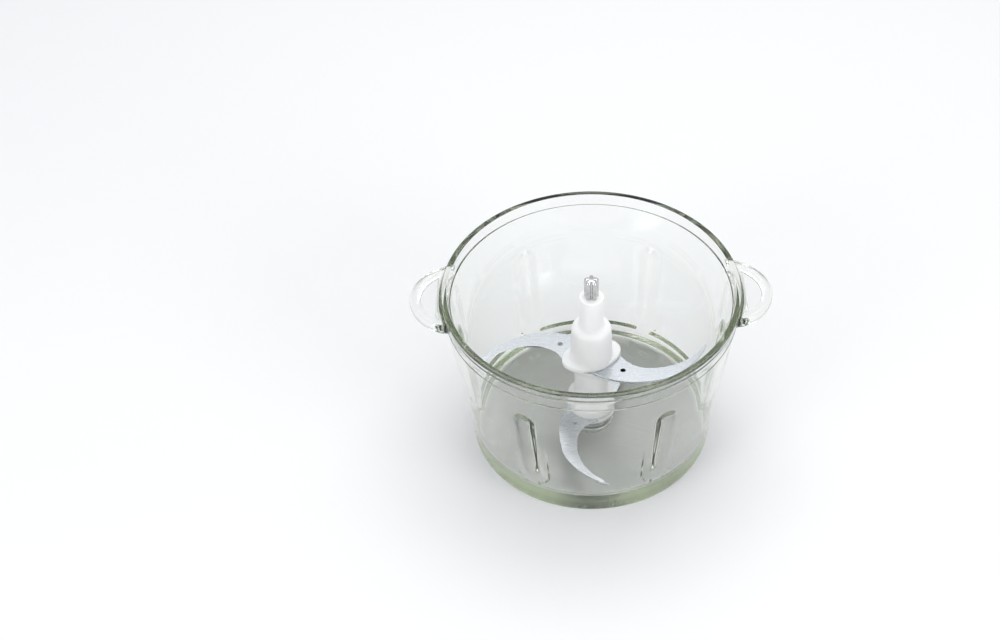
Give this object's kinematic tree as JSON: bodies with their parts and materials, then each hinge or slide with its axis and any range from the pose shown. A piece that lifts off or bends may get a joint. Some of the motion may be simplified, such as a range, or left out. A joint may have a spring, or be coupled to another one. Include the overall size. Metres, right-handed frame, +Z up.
{
  "type": "electric meat grinder bowl unit",
  "caption": "Pressed glass food grinder bowl with side ears, and a white lift-out blade carrier with curved steel blades and a splined drive tip.",
  "frame": {"origin": "centre of the bowl's base, on the table", "axes": "+Z up along the blade carrier's axis, +X through the right ear, front at -Y"},
  "size_m": [0.218, 0.1796, 0.125],
  "materials": {
    "clear_glass": "clear pressed soda-lime glass, faintly green in thick sections",
    "white_plastic": "satin white food-grade plastic",
    "blade_steel": "finely brushed stainless steel",
    "polished_steel": "turned and polished stainless steel",
    "silicone": "translucent grey silicone rubber",
    "bearing_plastic": "natural acetal bearing plastic"
  },
  "bodies": {
    "bowl": {"glass_bowl": "clear_glass", "pivot_pin": "polished_steel", "pin_seal_inner": "silicone", "pin_seal_outer": "silicone", "pin_washer": "polished_steel", "pin_nut": "polished_steel", "base_plug": "white_plastic"},
    "thrust": {"thrust_ball": "polished_steel"},
    "carrier": {"carrier_sleeve": "white_plastic", "upper_hub": "white_plastic", "drive_spindle": "polished_steel", "hub_screw": "polished_steel", "hub_seal_ring": "silicone", "upper_blade": "blade_steel", "lower_blade": "blade_steel", "lower_clamp_ring": "white_plastic", "clamp_screws": "polished_steel", "upper_bush": "bearing_plastic", "lower_bush": "bearing_plastic", "ball_cage": "bearing_plastic"}
  },
  "joints": [
    {"name": "blade_lift", "type": "slide", "parent": "bowl", "child": "thrust", "axis": [0, 0, 1], "range_m": [0, 0.13]},
    {"name": "blade_spin", "type": "hinge", "parent": "thrust", "child": "carrier", "pos_m": [0, 0, 0.07], "axis": [0, 0, 1], "continuous": true}
  ]
}
